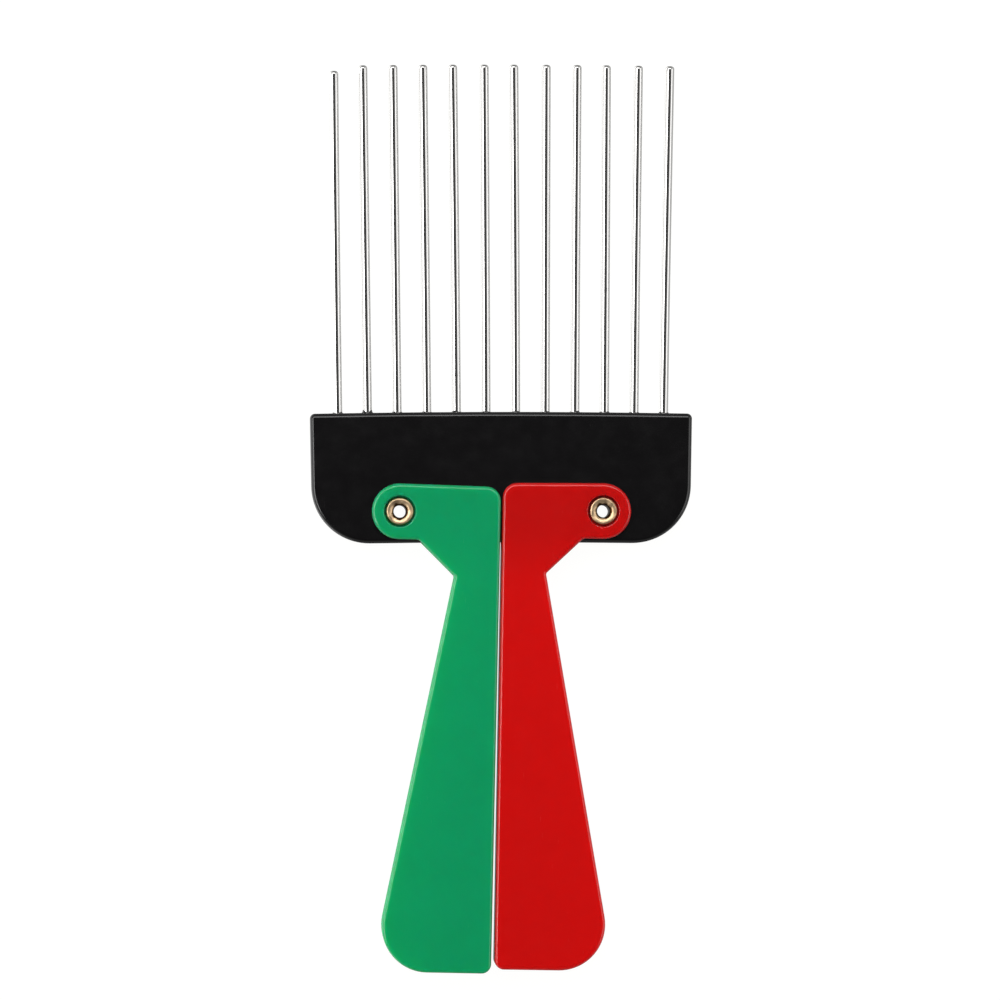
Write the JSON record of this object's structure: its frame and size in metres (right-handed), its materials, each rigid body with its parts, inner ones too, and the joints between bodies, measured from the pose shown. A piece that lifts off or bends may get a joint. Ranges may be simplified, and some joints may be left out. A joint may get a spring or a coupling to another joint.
{
  "type": "folding afro pick",
  "caption": "Folding afro pick: a black moulded head holds straight steel pins, and green and red channel handles swing about brass eyelets to take in the outer pins.",
  "frame": {"origin": "on the surface the pick lies on, under the head's middle line, half way along the opened pick", "axes": "+X to the right (red) handle, +Y along the pins to their tips, +Z out of the front face"},
  "size_m": [0.0762, 0.1812, 0.009],
  "materials": {
    "black_plastic": "moulded, glossy",
    "plated_steel": "drawn wire, bright plated",
    "green_plastic": "moulded, satin gloss",
    "red_plastic": "moulded, satin gloss",
    "brass": "rolled, bright"
  },
  "bodies": {
    "head": {"comb_head": "black_plastic", "pin_01": "plated_steel", "pin_02": "plated_steel", "pin_03": "plated_steel", "pin_04": "plated_steel", "pin_05": "plated_steel", "pin_06": "plated_steel", "pin_07": "plated_steel", "pin_08": "plated_steel", "pin_09": "plated_steel", "pin_10": "plated_steel", "pin_11": "plated_steel", "pin_12": "plated_steel", "left_eyelet": "brass", "right_eyelet": "brass"},
    "green_handle": {"green_handle": "green_plastic"},
    "red_handle": {"red_handle": "red_plastic"}
  },
  "joints": [
    {"name": "green_fold", "type": "hinge", "parent": "head", "child": "green_handle", "pos_m": [-0.02027, 0.00129, 0.0045], "axis": [0, 0, -1], "range_deg": [0, 178.68]},
    {"name": "red_fold", "type": "hinge", "parent": "head", "child": "red_handle", "pos_m": [0.02027, 0.00129, 0.0045], "axis": [0, 0, 1], "range_deg": [0, 181.12]}
  ]
}
